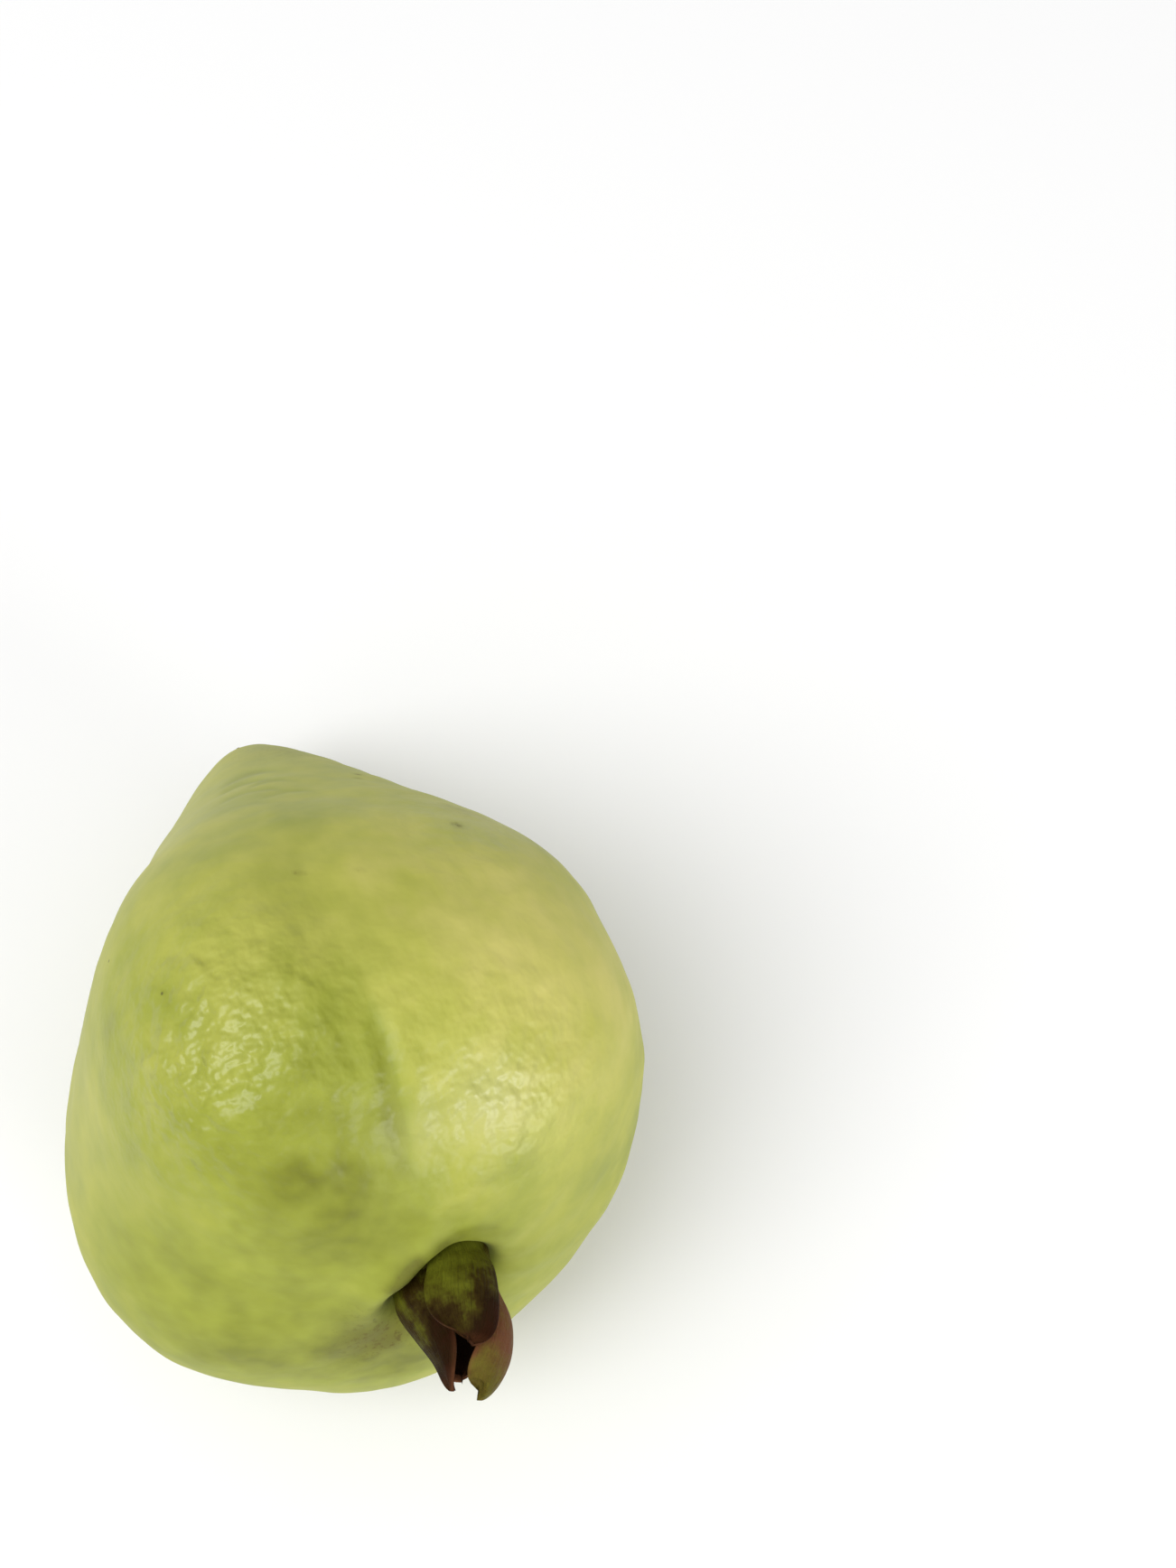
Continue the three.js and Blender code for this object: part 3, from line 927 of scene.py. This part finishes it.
def cup_part():
    """The low cup that the sepals grow from, told in the same way as a sepal."""
    radius, rim = CUP["radius"], CUP["height"]
    bore = radius - CUP["wall"]
    rounding = CUP_ROUNDING
    outside = [  # distance from its axis and height, from under its root to its rim
        (rounding["middle"], -CUP["root"]),
        (bore, -CUP["root"]),
        (radius, 0),
        (radius, rim - rounding["shoulder"]),
        (radius - rounding["rim"], rim),
    ]
    mouth = [
        (bore, rim - rounding["lip"]),
        (bore - rounding["well"], CUP["floor"]),
        (rounding["middle"], CUP["floor"] - rounding["dish"]),
    ]
    rings = turned_rings(outside + mouth, round_turns(CUP_ROUND))
    level = rings[..., 2]
    in_mouth = (np.arange(len(rings)) >= len(outside))[:, None]
    base, at_rim = CUP_AGE
    values = {
        "age": base + at_rim * level / rim,
        "rust": 0 * level,
        # the cup's mouth is given the painted shade of an inside
        "inside": np.broadcast_to(in_mouth, level.shape) * 1.0,
        "vein": VEINS["cup"] * rings,
    }
    return rings, (0, 0, outside[0][1]), (0, 0, mouth[-1][1]), values


def dress_calyx(middle):
    """Builds the dried calyx in its basin: four sepals on a cup, as one piece."""
    parts = [sepal_part(sepal, number) for number, sepal in enumerate(SEPALS.values())]
    parts.append(cup_part())
    points, faces = np.empty((0, 3)), []
    for rings, start, end, _ in parts:
        own_points, own_faces = closed_form(rings, start, end)
        faces.extend(tuple(len(points) + corner for corner in face) for face in own_faces)
        points = np.concatenate([points, own_points])
    lean = np.array(Matrix.Rotation(-radians(CALYX_LEAN), 3, "Y"))
    placed = (points @ lean.T + calyx_foot()) @ LIE_DOWN.T * MM + middle
    calyx = add_piece("dried_calyx", placed, faces, dried_calyx())
    for name in ("age", "rust", "inside", "vein"):
        add_values(calyx, name, np.concatenate([with_ends(part[-1][name]) for part in parts]))
    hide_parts("calyx")


# ---------------------------------------------------------------- the stem

STALK_RADIUS = 1.7
STALK_PROUD = 0.7  # how far it stands out of the dimple
STALK_BEVEL = 0.25
BEVEL_ROUND = (0.08, 0.1)  # how far in and down from its corner the bevel's middle point is
STALK_FLARE = [  # how much wider, height over the dimple's floor
    (0.35, -3.6),
    (0.35, 0),
    (0.1, 0.8),
]
STALK_RIDGES = [  # count, height as a part of the radius, start
    (7, 0.05, 0),
    (11, 0.03, 1),
]
CUT_DIPS = [  # part of the radius, depth: the wood has shrunk round its pith
    (0.6, 0.12),
    (0.3, 0.05),
]
PITH_DIP = 0.1
STALK_ROUND = 64


def dress_stem(middle):
    """Builds the short cut stalk in the dimple at the neck's tip."""
    floor = skin_radius(np.array([pi]), np.array([0.0]))[0]
    end = floor + DIMPLE["depth"] + STALK_PROUD
    bark = [(STALK_RADIUS + wider, floor + height) for wider, height in STALK_FLARE]
    bark += [
        (STALK_RADIUS, floor + DIMPLE["depth"] / 2),
        (STALK_RADIUS, end - 2 * STALK_BEVEL),
        (STALK_RADIUS - BEVEL_ROUND[0], end - BEVEL_ROUND[1]),
    ]
    cut = [(STALK_RADIUS - STALK_BEVEL, end)]
    cut += [(STALK_RADIUS * part, end - depth) for part, depth in CUT_DIPS]
    turns = round_turns(STALK_ROUND)
    ridged = 1 + sum(height * np.cos(count * turns + at) for count, height, at in STALK_RIDGES)
    rings = turned_rings([(reach, -out) for reach, out in bark + cut], turns, ridged)
    points, faces = closed_form(rings, (0, 0, -bark[0][1]), (0, 0, PITH_DIP - end))
    placed = points @ LIE_DOWN.T * MM + middle
    stub = add_piece("cut_stem", placed, faces, woody_stem())
    in_cut = (np.arange(len(rings)) >= len(bark))[:, None]
    add_values(stub, "cut", with_ends(np.broadcast_to(in_cut, rings.shape[:2]) * 1.0))
    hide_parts("stem")


# ---------------------------------------------------------------- studio

PICTURE_WIDTH, PICTURE_HEIGHT = 1302, 1736
LENS, SENSOR = 50, 36
CAMERA_RISE, CAMERA_SWING = 73, -22.97
CAMERA_DISTANCE = 304.04  # to the belly's middle, along the view
BELLY_IN_PICTURE = (411.5, 1215.8)  # pixels from the left and from the top


def place_camera(middle):
    """Looks down at the fruit, with its belly left of the picture's middle and below it."""
    rise, swing = radians(CAMERA_RISE), radians(CAMERA_SWING)
    back = Vector((sin(swing) * cos(rise), -cos(swing) * cos(rise), sin(rise)))
    right = Vector((cos(swing), sin(swing), 0))
    up = back.cross(right)
    pixels = LENS / SENSOR * PICTURE_HEIGHT
    aside = (BELLY_IN_PICTURE[0] - PICTURE_WIDTH / 2) / pixels
    above = (PICTURE_HEIGHT / 2 - BELLY_IN_PICTURE[1]) / pixels
    camera = bpy.data.objects.new("camera", bpy.data.cameras.new("camera"))
    camera.data.lens = LENS
    camera.data.sensor_width = SENSOR
    camera.data.clip_start = 0.01
    turned = Matrix((right, up, back)).transposed().to_4x4()
    reach = (back - right * aside - up * above) * CAMERA_DISTANCE * MM
    camera.matrix_world = Matrix.Translation(Vector(middle) + reach) @ turned
    bpy.context.scene.collection.objects.link(camera)
    bpy.context.scene.camera = camera


LAMPS = [  # name, direction from the fruit, then in metres distance, width, length, then watts
    ("overhead", (-0.46, -0.01, 0.88), 0.9, 0.40, 0.95, 4.1),
    ("side", (0.485, -0.84, 0.242), 0.9, 0.34, 0.34, 3.3),
]
ROOM = {"low": 0.28, "high": 1.17, "left": 1.32, "right": 0.5}  # brightness of the walls
FLOOR_REACH = 2.5  # metres from the middle to each side


def hang_lamps(middle):
    """Hangs two soft lamps that face the fruit."""
    for name, towards, distance, width, length, power in LAMPS:
        lamp = bpy.data.lights.new(name, "AREA")
        lamp.shape = "ELLIPSE"
        lamp.size = width
        lamp.size_y = length
        lamp.energy = power
        placed = bpy.data.objects.new(name, lamp)
        outward = Vector(towards).normalized()
        placed.location = Vector(middle) + outward * distance
        placed.rotation_euler = outward.to_track_quat("Z", "Y").to_euler()
        bpy.context.scene.collection.objects.link(placed)


def light_room():
    """Lights a pale room that is brighter above and to the left."""
    world = bpy.data.worlds.new("studio")
    world.use_nodes = True
    tree = world.node_tree
    facing = add_node(tree, "TexCoord").outputs["Generated"]
    facing = add_node(tree, "SeparateXYZ", {"Vector": facing})
    limits = {"To Min": ROOM["low"], "To Max": ROOM["high"]}
    above = add_node(tree, "MapRange", {"Value": facing.outputs["Z"], **limits}).outputs[0]
    limits = {"From Min": -1, "To Min": ROOM["left"], "To Max": ROOM["right"]}
    aside = add_node(tree, "MapRange", {"Value": facing.outputs["X"], **limits}).outputs[0]
    strength = add_node(tree, "Math", {0: above, 1: aside}, operation="MULTIPLY").outputs[0]
    tree.nodes["Background"].inputs["Color"].default_value = (1, 1, 1, 1)
    tree.links.new(strength, tree.nodes["Background"].inputs["Strength"])
    bpy.context.scene.world = world


def lay_floor():
    """Lays a sheet of pale matt card under the fruit."""
    sides = ((-1, -1), (1, -1), (1, 1), (-1, 1))
    corners = [(x * FLOOR_REACH, y * FLOOR_REACH, 0) for x, y in sides]
    mesh = bpy.data.meshes.new("floor")
    mesh.from_pydata(corners, [], [(0, 1, 2, 3)])
    card, _, _ = new_material("pale_card", **{"Base Color": colour("#ECECEC"), "Roughness": 0.9})
    mesh.materials.append(card)
    floor = bpy.data.objects.new("floor", mesh)
    bpy.context.scene.collection.objects.link(floor)


middle = grow_fruit()
dress_calyx(middle)
dress_stem(middle)
place_camera(middle)
hang_lamps(middle)
light_room()
lay_floor()
bpy.context.scene.view_settings.view_transform = "Standard"
